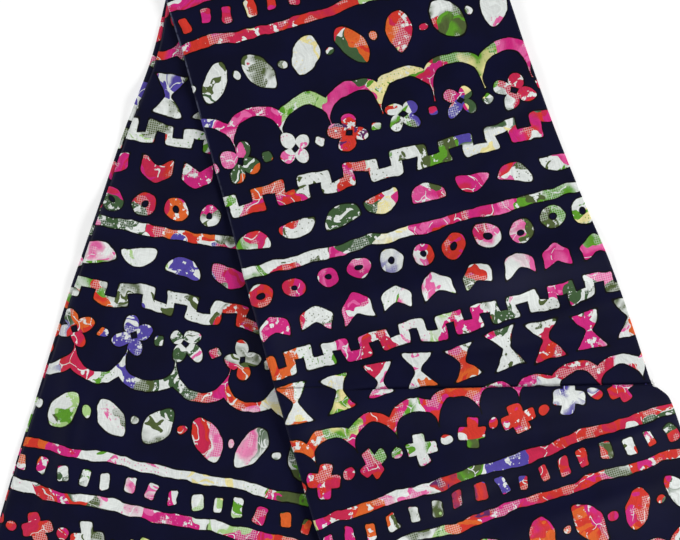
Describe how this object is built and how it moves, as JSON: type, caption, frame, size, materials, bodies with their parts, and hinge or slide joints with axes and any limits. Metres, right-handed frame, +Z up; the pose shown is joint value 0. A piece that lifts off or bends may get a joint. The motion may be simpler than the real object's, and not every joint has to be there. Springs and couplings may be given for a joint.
{
  "type": "folded length of wax print fabric",
  "caption": "Printed cotton length folded lengthwise in three, then folded over into an inverted V and laid flat, with a slanting tuck.",
  "frame": {"origin": "middle of the outline, on the surface that the cloth lies on", "axes": "+X to the right across the two legs, +Y from the cut ends towards the top turn, +Z up from the surface"},
  "size_m": [0.962, 0.98, 0.0121],
  "materials": {
    "printed_cotton": "matt navy cotton, plain weave, printed with multicoloured bands"
  },
  "bodies": {
    "root": {"left_leg_inner_layers": "printed_cotton", "left_leg_face": "printed_cotton", "right_leg_inner_layers": "printed_cotton", "right_leg_upper_face": "printed_cotton", "right_leg_lower_face": "printed_cotton", "top_turn": "printed_cotton", "top_turn_inner_layers": "printed_cotton"}
  },
  "joints": []
}
